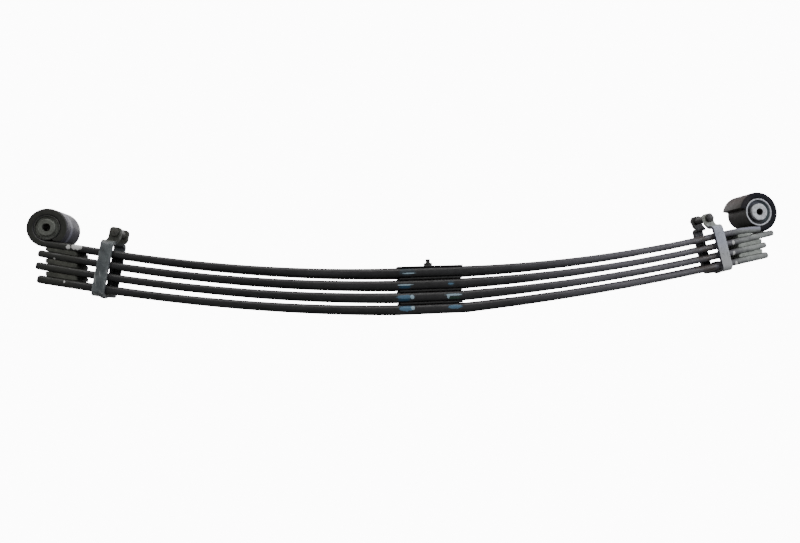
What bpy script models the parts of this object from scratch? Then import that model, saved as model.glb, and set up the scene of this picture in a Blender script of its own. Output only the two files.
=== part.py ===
"""Four-leaf parabolic truck leaf spring, upright as it lies under a frame rail.

X runs along the spring, Y across its width and Z up. The origin is the middle of the
axle seat: the underside of the lowest leaf, on the centre bolt's axis. The front arm
points to -X and the rear arm to +X. All lengths are in metres.
"""

import math

import bmesh
import bpy
from mathutils import Matrix, Vector

# Driving dimensions
EYE_REACH = 0.900  # centre bolt to either eye, along X
LEAF_WIDTH = 0.075  # also the width of the eyes
LEAF_COUNT = 4
CENTRE_THICKNESS = 0.0255
CENTRE_GAP = 0.0052
PACK_HEIGHT = LEAF_COUNT * CENTRE_THICKNESS + (LEAF_COUNT - 1) * CENTRE_GAP
SEAT_HALF = 0.080  # the clamped middle is flat to here
TAPER_START = 0.090
EASE_START = 0.800  # the ends of the leaves ease off their curve from here
FLEX_REACH = 0.380  # where each arm's bending is hinged
CORNER_SHARE = 0.25  # of a leaf's thickness, cut off each of its corners
TIP_BEVEL = 0.006
CLEARANCE = 0.0003  # between faces that touch
SIDE_CLEARANCE = 0.0010
DRILL_PAST = 0.010  # how far a cutter runs past the part it cuts

# Centre
PLATE_HALF = 0.083
PLATE_THICKNESS = 0.0027
PLATE_INSET = 0.001  # plates stay this far inside the leaves' sides
NUT_HOLE_RADIUS = 0.0125  # in the top plate, round the nut
DOWEL_RADIUS = 0.012
DOWEL_HEIGHT = 0.008
CENTRE_NUT_HEIGHT = 0.012
BOLT_STANDS_ABOVE_LEAF = 0.0222

# Bolts
BOLT_RADIUS = 0.006
BOLT_HOLE_RADIUS = 0.0065
HEX_RADIUS = 0.011
HEAD_HEIGHT = 0.008
NUT_HEIGHT = 0.009
BOLT_PAST_NUT = 0.004

# Wear pads
PAD_START = 0.836
PAD_END = 0.897
REAR_FIRST_PAD_END = 0.876
PAD_WIDTH = 0.070
PAD_PIECES = 4
PEG_RADIUS = 0.006
PEG_FLOOR = 0.001  # left under the peg in its hole

# Rebound clips
STRAP_WIDTH = 0.027
STRAP_THICKNESS = 0.008
STRAP_FLOOR_GAP = 0.0008
BEND_RADIUS = 0.006
BEND_STEPS = 3
SHOULDER_HEIGHT = 0.0135  # above the top leaf, where the strap folds in
SHOULDER_CUT = 0.006
LEG_CUT = 0.004
EAR_SIDE = 0.021  # middle of the spring to the inner face of an ear
EAR_OFFSET = 0.008  # how far the ears step towards the middle of the spring
EAR_FOOT = 0.034  # above the top leaf, where that step ends
EAR_TOP = 0.056
CLIP_BOLT_HEIGHT = 0.043
TUBE_RADIUS = 0.010
RIVET_RADIUS = 0.005
RIVET_HEAD_RADIUS = 0.009
RIVET_HEAD_HEIGHT = 0.0035
RIVET_TOP_HEIGHT = 0.002
STRAP_FLAT_HALF = 0.014

# Bushes
PIN_BORE_RADIUS = 0.0085
INNER_SLEEVE_LENGTH = 0.081
RUBBER_LENGTH = 0.069
PRESS_GAP = 0.0005  # between the eye and the outer sleeve

# How finely the curves are divided
ROUND_SEGMENTS = 32
SMALL_SEGMENTS = 20
ARM_PIECES = 12
END_PIECES = 6
CURL_STEP = math.radians(10)


class Arm:
    """One half of the spring, with the numbers in which the two halves differ."""

    def __init__(self, name, side, camber, top_ease, pack_ease, end_thickness,
                 taper_power, end_gap, gap_power, tips, bore, curl_end,
                 inner_radius, rubber_radius, clip_reach):
        self.name = name
        self.side = side  # -1 at the front, +1 at the rear
        self.camber = camber
        self.top_ease = top_ease
        self.pack_ease = pack_ease
        self.end_thickness = end_thickness
        self.taper_power = taper_power
        self.end_gap = end_gap
        self.gap_power = gap_power
        self.tips = tips
        self.bore = bore
        self.curl_end = curl_end
        self.inner_radius = inner_radius
        self.rubber_radius = rubber_radius
        self.clip_reach = clip_reach

    def share(self, reach):
        """0 where the taper starts, 1 at the eye."""
        return max(0.0, (reach - TAPER_START) / (EYE_REACH - TAPER_START))

    def thickness(self, leaf, reach):
        end = self.end_thickness[leaf]
        left = max(0.0, 1.0 - self.share(reach))
        return end + (CENTRE_THICKNESS - end) * left ** self.taper_power

    def gap(self, reach):
        grown = min(1.0, self.share(reach)) ** self.gap_power
        return CENTRE_GAP + (self.end_gap - CENTRE_GAP) * grown

    def rise(self, leaf, reach):
        """Height that the camber adds. The ends of the leaves ease off a little."""
        ease = self.top_ease if leaf == 0 else self.pack_ease
        bend = max(0.0, reach - SEAT_HALF)
        end = max(0.0, reach - EASE_START)
        return self.camber * bend ** 2 - ease * end ** 2

    def slope(self, leaf, reach):
        """How steeply the leaf climbs towards its end."""
        ease = self.top_ease if leaf == 0 else self.pack_ease
        bend = max(0.0, reach - SEAT_HALF)
        end = max(0.0, reach - EASE_START)
        return 2 * (self.camber * bend - ease * end)

    def upright(self, leaf, reach):
        """The leaf's thickness measured along Z."""
        return self.thickness(leaf, reach) * math.hypot(1.0, self.slope(leaf, reach))

    def top(self, leaf, reach):
        above = sum(self.upright(upper, reach) + self.gap(reach) for upper in range(leaf))
        return PACK_HEIGHT + self.rise(leaf, reach) - above

    def bottom(self, leaf, reach):
        return self.top(leaf, reach) - self.upright(leaf, reach)

    def point(self, reach, height):
        return Vector((self.side * reach, 0.0, height))

    def eye_contact(self):
        """Reach at which the top leaf's upper face becomes the wall of the eye."""
        reach = EYE_REACH
        for _ in range(20):
            lean = math.atan(self.slope(0, reach))
            reach = EYE_REACH + self.bore * math.sin(lean)
        return reach

    def eye_height(self):
        contact = self.eye_contact()
        lean = math.atan(self.slope(0, contact))
        return self.top(0, contact) + self.bore * math.cos(lean)

    def eye_centre(self):
        return self.point(EYE_REACH, self.eye_height())

    def flex_centre(self):
        """Middle of the pack where the arm's bending is hinged."""
        middle = (self.top(0, FLEX_REACH) + self.bottom(LEAF_COUNT - 1, FLEX_REACH)) / 2
        return self.point(FLEX_REACH, middle)


FRONT = Arm(
    "front", -1, camber=0.140, top_ease=0.34, pack_ease=0.0,
    end_thickness=(0.0160, 0.0165, 0.0175, 0.0190), taper_power=1.5,
    end_gap=0.0120, gap_power=1.0, tips=(0.919, 0.924, 0.921),
    bore=0.0296, curl_end=math.radians(315), inner_radius=0.0195, rubber_radius=0.0260,
    clip_reach=0.767,
)
REAR = Arm(
    "rear", 1, camber=0.135, top_ease=1.00, pack_ease=0.10,
    end_thickness=(0.0165, 0.0155, 0.0155, 0.0170), taper_power=1.9,
    end_gap=0.0113, gap_power=1.3, tips=(0.939, 0.915, 0.918),
    bore=0.0375, curl_end=math.radians(256), inner_radius=0.0225, rubber_radius=0.0328,
    clip_reach=0.775,
)
ARMS = (FRONT, REAR)

# Materials: name -> (colour, metallic, roughness)
FINISHES = {
    "leaf_paint": ((0.075, 0.075, 0.080), 0.3, 0.45),
    "clip_paint": ((0.16, 0.17, 0.19), 0.4, 0.45),
    "bolt_steel": ((0.09, 0.09, 0.085), 0.7, 0.5),
    "pad_steel": ((0.13, 0.13, 0.11), 0.3, 0.75),
    "sleeve_steel": ((0.34, 0.34, 0.34), 0.8, 0.45),
    "bush_rubber": ((0.03, 0.03, 0.03), 0.0, 0.85),
}


def clear_scene():
    for old in list(bpy.data.objects):
        bpy.data.objects.remove(old, do_unlink=True)


def new_collection(name):
    collection = bpy.data.collections.new(name)
    bpy.context.scene.collection.children.link(collection)
    return collection


def make_material(name):
    colour, metallic, roughness = FINISHES[name]
    material = bpy.data.materials.new(name)
    material.use_nodes = True
    shader = material.node_tree.nodes["Principled BSDF"]
    shader.inputs["Base Color"].default_value = (*colour, 1.0)
    shader.inputs["Metallic"].default_value = metallic
    shader.inputs["Roughness"].default_value = roughness
    return material


def add_object(name, mesh, finish=None):
    """A new object among the parts, or among the cutters when it has no finish."""
    thing = bpy.data.objects.new(name, mesh)
    if finish:
        thing.data.materials.append(make_material(finish))
        parts.objects.link(thing)
    else:
        thing.hide_render = True
        thing.display_type = "WIRE"
        cutters.objects.link(thing)
    return thing


def smooth(thing, degrees=30):
    thing.data.shade_smooth()
    thing.data.set_sharp_from_angle(angle=math.radians(degrees))


def along(start, end):
    """Matrix that carries the Z axis, centred, onto the line from start to end."""
    line = Vector(end) - Vector(start)
    turn = line.to_track_quat("Z", "X").to_matrix().to_4x4()
    return Matrix.Translation((Vector(start) + Vector(end)) / 2) @ turn


def cylinder(name, radius, start, end, finish=None, segments=ROUND_SEGMENTS):
    """A straight round or six-sided bar between two points."""
    depth = (Vector(end) - Vector(start)).length
    bm = bmesh.new()
    bmesh.ops.create_cone(
        bm, cap_ends=True, segments=segments, radius1=radius, radius2=radius, depth=depth
    )
    mesh = bpy.data.meshes.new(name)
    bm.to_mesh(mesh)
    bm.free()
    thing = add_object(name, mesh, finish)
    thing.matrix_world = along(start, end)
    if finish and segments > 6:
        smooth(thing)
    return thing


def combine(thing, tool, operation):
    """Joins a tool to an object or cuts it away, and keeps both editable."""
    modifier = thing.modifiers.new(tool.name, "BOOLEAN")
    modifier.operation = operation
    modifier.solver = "EXACT"
    modifier.object = tool


def drill(thing, label, radius, start, end):
    combine(thing, cylinder(f"cut_{thing.name}_{label}", radius, start, end,
                            segments=SMALL_SEGMENTS), "DIFFERENCE")


def turned(name, profile, centre, finish, segments=ROUND_SEGMENTS):
    """A ring turned about Y. The profile's (radius, offset) points run down its outer side."""
    mesh = bpy.data.meshes.new(name)
    count = len(profile)
    edges = [(n, (n + 1) % count) for n in range(count)]
    mesh.from_pydata([(radius, 0.0, offset) for radius, offset in profile], edges, [])
    thing = add_object(name, mesh, finish)
    thing.matrix_world = Matrix.Translation(centre) @ Matrix.Rotation(math.radians(90), 4, "X")
    screw = thing.modifiers.new("turn", "SCREW")
    screw.axis = "Z"
    screw.angle = math.radians(360)
    screw.steps = segments
    screw.render_steps = segments
    screw.use_merge_vertices = True
    screw.merge_threshold = 0.00001
    screw.use_smooth_shade = False
    return thing


def sleeve(name, outer, inner, length, centre, finish):
    half = length / 2
    profile = [(outer, half), (outer, -half), (inner, -half), (inner, half)]
    return turned(name, profile, centre, finish)


def section(width, thickness):
    """Outline of a leaf's bar: (across, depth below the upper face), corners cut."""
    half = width / 2
    cut = CORNER_SHARE * thickness
    return [
        (half - cut, 0.0), (half, cut), (half, thickness - cut), (half - cut, thickness),
        (cut - half, thickness), (-half, thickness - cut), (-half, cut), (cut - half, 0.0),
    ]


def loft(name, rings, finish):
    """Joins a row of rings of equal length into one closed bar."""
    bm = bmesh.new()
    made = [[bm.verts.new(point) for point in ring] for ring in rings]
    for near, far in zip(made, made[1:]):
        for n in range(len(near)):
            m = (n + 1) % len(near)
            bm.faces.new((near[n], near[m], far[m], far[n]))
    bm.faces.new(list(reversed(made[0])))
    bm.faces.new(made[-1])
    bmesh.ops.recalc_face_normals(bm, faces=bm.faces)
    mesh = bpy.data.meshes.new(name)
    bm.to_mesh(mesh)
    bm.free()
    thing = add_object(name, mesh, finish)
    smooth(thing, 35)
    return thing


def ring_at(place, inward, width, thickness):
    """A section whose upper face lies at place and whose depth runs against inward."""
    return [
        place + Vector((0.0, across, 0.0)) - inward * depth
        for across, depth in section(width, thickness)
    ]


def arm_ring(arm, leaf, reach, width=LEAF_WIDTH, waste=0.0):
    """The leaf's section at one reach. Waste thins a tip from both faces."""
    lean = arm.slope(leaf, reach)
    normal = Vector((-arm.side * lean, 0.0, 1.0)).normalized()
    place = arm.point(reach, arm.top(leaf, reach)) - normal * waste
    return ring_at(place, normal, width, arm.thickness(leaf, reach) - 2 * waste)


def stations(last):
    """Reaches along one arm, closer together where the leaf's end curves more."""
    arm = [SEAT_HALF + (EASE_START - SEAT_HALF) * n / ARM_PIECES for n in range(ARM_PIECES)]
    end = [EASE_START + (last - EASE_START) * n / END_PIECES for n in range(END_PIECES + 1)]
    return arm + end


def eye_rings(arm):
    """Rings around one eye, from the contact point to the end of the curl."""
    centre = arm.eye_centre()
    contact = arm.eye_contact()
    lean = math.atan(arm.slope(0, contact))
    wall = arm.end_thickness[0]
    sweep = arm.curl_end - lean
    count = round(sweep / CURL_STEP)
    rings = []
    for n in range(1, count + 1):
        turn = -math.pi / 2 + lean + sweep * n / count
        outward = Vector((arm.side * math.cos(turn), 0.0, math.sin(turn)))
        rings.append(ring_at(centre + outward * arm.bore, -outward, LEAF_WIDTH, wall))
    return rings


def arm_rings(arm, leaf, last):
    return [arm_ring(arm, leaf, reach) for reach in stations(last)]


def make_top_leaf():
    halves = [arm_rings(arm, 0, arm.eye_contact()) + eye_rings(arm) for arm in ARMS]
    leaf = loft("leaf_1", list(reversed(halves[0])) + halves[1], "leaf_paint")
    drill_centre(leaf)
    return leaf


def make_lower_leaf(leaf):
    """A leaf that ends in plain blunt tips under the eyes."""
    halves = []
    for arm in ARMS:
        tip = arm.tips[leaf - 1]
        rings = arm_rings(arm, leaf, tip - TIP_BEVEL)
        rings.append(arm_ring(arm, leaf, tip, LEAF_WIDTH - 2 * TIP_BEVEL, TIP_BEVEL / 2))
        halves.append(rings)
    name = f"leaf_{leaf + 1}"
    thing = loft(name, list(reversed(halves[0])) + halves[1], "leaf_paint")
    drill_centre(thing)
    for arm in ARMS:
        peg = pad_middle(arm, leaf - 1)
        drill(thing, f"{arm.name}_peg", PEG_RADIUS + 2 * CLEARANCE,
              arm.point(peg, arm.bottom(leaf, peg) - DRILL_PAST / 3),
              arm.point(peg, arm.top(leaf, peg) + DRILL_PAST / 3))
    return thing


def drill_centre(thing, radius=BOLT_HOLE_RADIUS):
    drill(thing, "centre", radius, (0, 0, -DRILL_PAST), (0, 0, PACK_HEIGHT + 2 * DRILL_PAST))


def make_centre():
    for n in range(LEAF_COUNT - 1):
        low = n * (CENTRE_THICKNESS + CENTRE_GAP) + CENTRE_THICKNESS + CLEARANCE
        spacer = plate(f"centre_spacer_{LEAF_COUNT - 1 - n}", low,
                       CENTRE_GAP - 2 * CLEARANCE, SEAT_HALF - PLATE_INSET, "pad_steel")
        drill_centre(spacer)
    seat = PACK_HEIGHT + CLEARANCE
    drill_centre(plate("top_plate", seat, PLATE_THICKNESS, PLATE_HALF, "leaf_paint"),
                 NUT_HOLE_RADIUS)
    top = PACK_HEIGHT + BOLT_STANDS_ABOVE_LEAF
    bolt = cylinder("centre_bolt", BOLT_RADIUS, (0, 0, DOWEL_HEIGHT / 2), (0, 0, top),
                    "bolt_steel", SMALL_SEGMENTS)
    head = cylinder("add_centre_bolt_head", DOWEL_RADIUS, (0, 0, 0), (0, 0, DOWEL_HEIGHT))
    combine(bolt, head, "UNION")
    nut = cylinder("centre_nut", HEX_RADIUS, (0, 0, seat), (0, 0, seat + CENTRE_NUT_HEIGHT),
                   "bolt_steel", 6)
    drill_centre(nut)


def plate(name, low, thickness, half, finish):
    bm = bmesh.new()
    bmesh.ops.create_cube(bm, size=1.0)
    bmesh.ops.scale(bm, verts=bm.verts, vec=(2 * half, LEAF_WIDTH - 2 * PLATE_INSET, thickness))
    bmesh.ops.translate(bm, verts=bm.verts, vec=(0, 0, low + thickness / 2))
    mesh = bpy.data.meshes.new(name)
    bm.to_mesh(mesh)
    bm.free()
    return add_object(name, mesh, finish)


def pad_end(arm, pad):
    """The first rear pad stops short, where the eye comes down on the second leaf."""
    return REAR_FIRST_PAD_END if arm is REAR and pad == 0 else PAD_END


def pad_middle(arm, pad):
    return (PAD_START + pad_end(arm, pad)) / 2


def make_pad(arm, pad):
    """A wear pad between two leaf ends, held by a peg in the lower leaf."""
    rings = []
    half = PAD_WIDTH / 2
    for n in range(PAD_PIECES + 1):
        reach = PAD_START + (pad_end(arm, pad) - PAD_START) * n / PAD_PIECES
        high = arm.bottom(pad, reach) - CLEARANCE
        low = arm.top(pad + 1, reach) + CLEARANCE
        x = arm.side * reach
        rings.append([Vector((x, half, high)), Vector((x, half, low)),
                      Vector((x, -half, low)), Vector((x, -half, high))])
    thing = loft(f"{arm.name}_pad_{pad + 1}", rings, "pad_steel")
    thing.data.shade_flat()
    reach = pad_middle(arm, pad)
    low = arm.bottom(pad + 1, reach) + PEG_FLOOR
    high = (arm.top(pad + 1, reach) + arm.bottom(pad, reach)) / 2
    peg = cylinder(f"add_{thing.name}_peg", PEG_RADIUS, arm.point(reach, low),
                   arm.point(reach, high), segments=SMALL_SEGMENTS)
    combine(thing, peg, "UNION")
    go_with(arm, thing)


def make_bush(arm):
    """Rubber bush: an outer sleeve pressed into the eye, rubber, and a bored inner sleeve."""
    centre = arm.eye_centre()
    go_with(arm, sleeve(f"{arm.name}_bush_outer_sleeve", arm.bore - PRESS_GAP,
                        arm.rubber_radius + CLEARANCE, LEAF_WIDTH, centre, "sleeve_steel"))
    go_with(arm, sleeve(f"{arm.name}_bush_rubber", arm.rubber_radius,
                        arm.inner_radius + CLEARANCE, RUBBER_LENGTH, centre, "bush_rubber"))
    go_with(arm, sleeve(f"{arm.name}_bush_inner_sleeve", arm.inner_radius, PIN_BORE_RADIUS,
                        INNER_SLEEVE_LENGTH, centre, "sleeve_steel"))


class ClipFrame:
    """Directions at a clip: towards the eye, and square to the top leaf."""

    def __init__(self, arm):
        reach = arm.clip_reach
        lean = arm.slope(0, reach)
        self.base = arm.point(reach, arm.top(0, reach))
        self.normal = Vector((-arm.side * lean, 0.0, 1.0)).normalized()
        self.outboard = Vector((arm.side, 0.0, lean)).normalized()
        self.depth = (arm.top(0, reach) - arm.bottom(3, reach)) * self.normal.z
        self.lowest_thickness = arm.thickness(3, reach)

    def place(self, outboard, across, height):
        shift = self.outboard * outboard + self.normal * height
        return self.base + shift + Vector((0.0, across, 0.0))


def strap_path(depth):
    """(across, height) points down one side, under the pack and up the other.

    Above the top leaf the strap folds in over a shoulder and rises again as an ear.
    """
    side = LEAF_WIDTH / 2 + SIDE_CLEARANCE
    floor = -depth - STRAP_FLOOR_GAP
    half = [
        (-EAR_SIDE, EAR_TOP), (-EAR_SIDE, EAR_FOOT),
        (-EAR_SIDE, SHOULDER_HEIGHT + SHOULDER_CUT), (-EAR_SIDE - SHOULDER_CUT, SHOULDER_HEIGHT),
        (LEG_CUT - side, SHOULDER_HEIGHT), (-side, SHOULDER_HEIGHT - LEG_CUT),
        (-side, -depth / 2),
    ]
    for n in range(BEND_STEPS + 1):
        turn = math.pi * (1.0 + 0.5 * n / BEND_STEPS)
        half.append((-side + BEND_RADIUS * (1 + math.cos(turn)),
                     floor + BEND_RADIUS * (1 + math.sin(turn))))
    half.append((-STRAP_FLAT_HALF, floor))
    return half + [(-across, height) for across, height in reversed(half)]


def make_strap(arm, frame):
    """The clip's strap, a flat bar bent round the pack."""
    bm = bmesh.new()
    made = []
    for across, height in strap_path(frame.depth):
        step = EAR_OFFSET if height >= EAR_FOOT else 0.0
        ends = (-STRAP_WIDTH / 2 - step, STRAP_WIDTH / 2 - step)
        made.append([bm.verts.new(frame.place(end, across, height)) for end in ends])
    for (a, b), (c, d) in zip(made, made[1:]):
        bm.faces.new((a, b, d, c) if arm is FRONT else (a, c, d, b))
    mesh = bpy.data.meshes.new(f"{arm.name}_clip_strap")
    bm.to_mesh(mesh)
    bm.free()
    strap = add_object(f"{arm.name}_clip_strap", mesh, "clip_paint")
    wall = strap.modifiers.new("wall", "SOLIDIFY")
    wall.thickness = STRAP_THICKNESS
    wall.offset = 1.0
    wall.use_even_offset = True
    return strap


def make_clip(arm):
    """Rebound clip: a strap riveted under the pack, closed by a bolt in a loose tube."""
    frame = ClipFrame(arm)
    strap = make_strap(arm, frame)
    outside = EAR_SIDE + STRAP_THICKNESS

    def bolt_point(across):
        return frame.place(-EAR_OFFSET, across, CLIP_BOLT_HEIGHT)

    drill(strap, "bolt", BOLT_HOLE_RADIUS, bolt_point(-outside - DRILL_PAST),
          bolt_point(outside + DRILL_PAST))
    tube = sleeve(f"{arm.name}_clip_tube", TUBE_RADIUS, BOLT_HOLE_RADIUS,
                  2 * (EAR_SIDE - CLEARANCE), bolt_point(0.0), "bolt_steel")
    head = outside + CLEARANCE
    nut_end = head + NUT_HEIGHT
    bolt = cylinder(f"{arm.name}_clip_bolt", BOLT_RADIUS, bolt_point(-head - HEAD_HEIGHT / 2),
                    bolt_point(nut_end + BOLT_PAST_NUT), "bolt_steel", SMALL_SEGMENTS)
    combine(bolt, cylinder(f"add_{bolt.name}_head", HEX_RADIUS, bolt_point(-head - HEAD_HEIGHT),
                           bolt_point(-head), segments=6), "UNION")
    nut = cylinder(f"{arm.name}_clip_nut", HEX_RADIUS, bolt_point(head), bolt_point(nut_end),
                   "bolt_steel", 6)
    drill(nut, "bolt", BOLT_HOLE_RADIUS, bolt_point(head - DRILL_PAST),
          bolt_point(nut_end + DRILL_PAST))
    rivet = make_rivet(arm, frame, strap)
    for thing in (strap, tube, bolt, nut, rivet):
        go_with(arm, thing)


def make_rivet(arm, frame, strap):
    """Holds the strap to the lowest leaf, with a head below and a flat head above it."""
    floor = -frame.depth - STRAP_FLOOR_GAP - STRAP_THICKNESS - CLEARANCE
    upper = -frame.depth + frame.lowest_thickness + 2 * CLEARANCE

    def spot(height):
        return frame.place(0.0, 0.0, height)

    hole = RIVET_RADIUS + 2 * CLEARANCE
    drill(strap, "rivet", hole, spot(floor - DRILL_PAST), spot(floor + 2 * DRILL_PAST))
    drill(bpy.data.objects["leaf_4"], f"{arm.name}_rivet", hole,
          spot(-frame.depth - DRILL_PAST), spot(upper + DRILL_PAST / 2))
    rivet = cylinder(f"{arm.name}_clip_rivet", RIVET_RADIUS, spot(floor - RIVET_HEAD_HEIGHT / 2),
                     spot(upper + RIVET_TOP_HEIGHT / 2), "bolt_steel", SMALL_SEGMENTS)
    combine(rivet, cylinder(f"add_{rivet.name}_lower", RIVET_HEAD_RADIUS,
                            spot(floor - RIVET_HEAD_HEIGHT), spot(floor),
                            segments=SMALL_SEGMENTS), "UNION")
    combine(rivet, cylinder(f"add_{rivet.name}_upper", RIVET_HEAD_RADIUS, spot(upper),
                            spot(upper + RIVET_TOP_HEIGHT), segments=SMALL_SEGMENTS), "UNION")
    return rivet


def make_flex_axis(arm):
    """An empty on the axis about which the arm's end turns. The end's pieces hang on it."""
    empty = bpy.data.objects.new(f"{arm.name}_flex_axis", None)
    empty.matrix_world = Matrix.Translation(arm.flex_centre())
    parts.objects.link(empty)
    flex_axes[arm] = empty


def go_with(arm, thing):
    """Parents a piece to its arm's flex axis and leaves it where it is."""
    thing.parent = flex_axes[arm]
    thing.matrix_parent_inverse = Matrix.Translation(-arm.flex_centre())


clear_scene()
parts = new_collection("leaf_spring")
cutters = new_collection("cutters")
flex_axes = {}
make_top_leaf()
for lower in range(1, LEAF_COUNT):
    make_lower_leaf(lower)
drill(bpy.data.objects["leaf_4"], "dowel", DOWEL_RADIUS + 2 * CLEARANCE, (0, 0, -DRILL_PAST),
      (0, 0, DOWEL_HEIGHT + CLEARANCE))
make_centre()
for one_arm in ARMS:
    make_flex_axis(one_arm)
    for pad_number in range(LEAF_COUNT - 1):
        make_pad(one_arm, pad_number)
    make_bush(one_arm)
    make_clip(one_arm)
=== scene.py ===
"""Looks of the four-leaf parabolic spring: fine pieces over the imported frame, in its own axes.

X runs along the spring (front at -X), Y across it and Z up, all in metres.
"""

import math

import bmesh
import bpy
from mathutils import Matrix, Vector


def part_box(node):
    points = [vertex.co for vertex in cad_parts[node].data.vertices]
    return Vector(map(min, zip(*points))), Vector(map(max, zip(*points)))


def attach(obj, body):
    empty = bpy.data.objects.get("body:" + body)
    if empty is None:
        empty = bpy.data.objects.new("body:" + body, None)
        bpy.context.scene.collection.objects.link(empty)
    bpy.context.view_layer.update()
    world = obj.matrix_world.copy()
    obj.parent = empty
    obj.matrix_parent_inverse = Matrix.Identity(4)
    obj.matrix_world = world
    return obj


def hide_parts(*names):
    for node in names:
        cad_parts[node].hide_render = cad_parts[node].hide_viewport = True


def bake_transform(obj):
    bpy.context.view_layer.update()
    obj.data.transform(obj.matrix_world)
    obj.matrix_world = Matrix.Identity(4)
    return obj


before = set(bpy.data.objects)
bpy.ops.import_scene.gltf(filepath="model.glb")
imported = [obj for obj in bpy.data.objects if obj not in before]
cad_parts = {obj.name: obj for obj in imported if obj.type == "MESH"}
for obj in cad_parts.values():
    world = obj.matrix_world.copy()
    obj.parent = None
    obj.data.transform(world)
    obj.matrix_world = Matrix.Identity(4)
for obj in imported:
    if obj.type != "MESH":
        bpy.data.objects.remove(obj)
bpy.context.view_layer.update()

# The same driving dimensions as the frame's
EYE_REACH = 0.900
LEAF_WIDTH = 0.075
LEAF_COUNT = 4
CENTRE_THICKNESS = 0.0255
CENTRE_GAP = 0.0052
SEAT_HALF = 0.080
TAPER_START = 0.090
EASE_START = 0.800
PACK_HEIGHT = LEAF_COUNT * CENTRE_THICKNESS + (LEAF_COUNT - 1) * CENTRE_GAP
PLATE_HALF = 0.083
PLATE_THICKNESS = 0.0027
CLEARANCE = 0.0003
PAD_START = 0.836
LINER_END = 0.904
REAR_FIRST_PAD_END = 0.876
PAD_WIDTH = 0.070
NEAR_SIDE = -LEAF_WIDTH / 2
STRAP_WIDTH = 0.027
STRAP_THICKNESS = 0.008
STRAP_SIDE = LEAF_WIDTH / 2 + 0.001
STRAP_FLOOR_GAP = 0.0008
BEND_RADIUS = 0.006
SHOULDER_HEIGHT = 0.0135
EAR_SIDE = 0.021
EAR_OFFSET = 0.008
EAR_TOP = 0.056
EAR_STEP_TOP = 0.032
EAR_ROUND_END = 0.0080
EAR_FOLD = 0.009
SHOULDER_RADIUS = 0.0035
CLIP_BOLT_HEIGHT = 0.043
BOLT_RADIUS = 0.006
BOLT_HOLE_RADIUS = 0.0065
TUBE_RADIUS = 0.010
HEX_APOTHEM = 0.011 * math.cos(math.radians(30))
HEAD_HEIGHT = 0.008
NUT_HEIGHT = 0.009
BOLT_PAST_NUT = 0.004
THREAD_BEHIND_NUT = 0.010
THREAD_PITCH = 0.00175
THREAD_DEPTH = 0.0007
DOWEL_RADIUS = 0.012
DOWEL_HEIGHT = 0.008
BOLT_STANDS_ABOVE_LEAF = 0.0222
RIVET_RADIUS = 0.005
RIVET_HEAD_RADIUS = 0.009
RIVET_HEAD_HEIGHT = 0.0035
PIN_BORE_RADIUS = 0.0085
INNER_SLEEVE_LENGTH = 0.081
RUBBER_LENGTH = 0.069
SIDE_ROUNDING = 0.40
FLEX_REACH = 0.38
FLEX_SPREAD = 0.27
CUT_LOW = -0.01
CUT_HIGH = PACK_HEIGHT + 0.02

# The studio: how white paper shows, and the light that it gives back
PAPER_WHITE = 12.0
WORLD_LIGHT = 0.46


class Arm:
    """One half of the spring, with the numbers in which the two halves differ."""

    def __init__(self, name, side, camber, top_ease, pack_ease, end_thickness,
                 taper_power, end_gap, gap_power, tips, bore, curl_end,
                 inner_radius, rubber_radius, clip_reach):
        self.name = name
        self.side = side
        self.camber = camber
        self.top_ease = top_ease
        self.pack_ease = pack_ease
        self.end_thickness = end_thickness
        self.taper_power = taper_power
        self.end_gap = end_gap
        self.gap_power = gap_power
        self.tips = tips
        self.bore = bore
        self.curl_end = curl_end
        self.inner_radius = inner_radius
        self.rubber_radius = rubber_radius
        self.clip_reach = clip_reach

    def share(self, reach):
        return max(0.0, (reach - TAPER_START) / (EYE_REACH - TAPER_START))

    def thickness(self, leaf, reach):
        end = self.end_thickness[leaf]
        left = max(0.0, 1.0 - self.share(reach))
        return end + (CENTRE_THICKNESS - end) * left ** self.taper_power

    def gap(self, reach):
        grown = min(1.0, self.share(reach)) ** self.gap_power
        return CENTRE_GAP + (self.end_gap - CENTRE_GAP) * grown

    def rise(self, leaf, reach):
        ease = self.top_ease if leaf == 0 else self.pack_ease
        bend = max(0.0, reach - SEAT_HALF)
        end = max(0.0, reach - EASE_START)
        return self.camber * bend ** 2 - ease * end ** 2

    def slope(self, leaf, reach):
        step = 0.0005
        return (self.rise(leaf, reach + step) - self.rise(leaf, reach - step)) / (2 * step)

    def upright(self, leaf, reach):
        return self.thickness(leaf, reach) * math.hypot(1.0, self.slope(leaf, reach))

    def top(self, leaf, reach):
        above = sum(self.upright(upper, reach) + self.gap(reach) for upper in range(leaf))
        return PACK_HEIGHT + self.rise(leaf, reach) - above

    def bottom(self, leaf, reach):
        return self.top(leaf, reach) - self.upright(leaf, reach)

    def point(self, reach, height, across=0.0):
        return Vector((self.side * reach, across, height))

    def eye_contact(self):
        reach = EYE_REACH
        for _ in range(20):
            lean = math.atan(self.slope(0, reach))
            reach = EYE_REACH + self.bore * math.sin(lean)
        return reach

    def eye_centre(self):
        contact = self.eye_contact()
        lean = math.atan(self.slope(0, contact))
        return self.point(EYE_REACH, self.top(0, contact) + self.bore * math.cos(lean))


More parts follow.
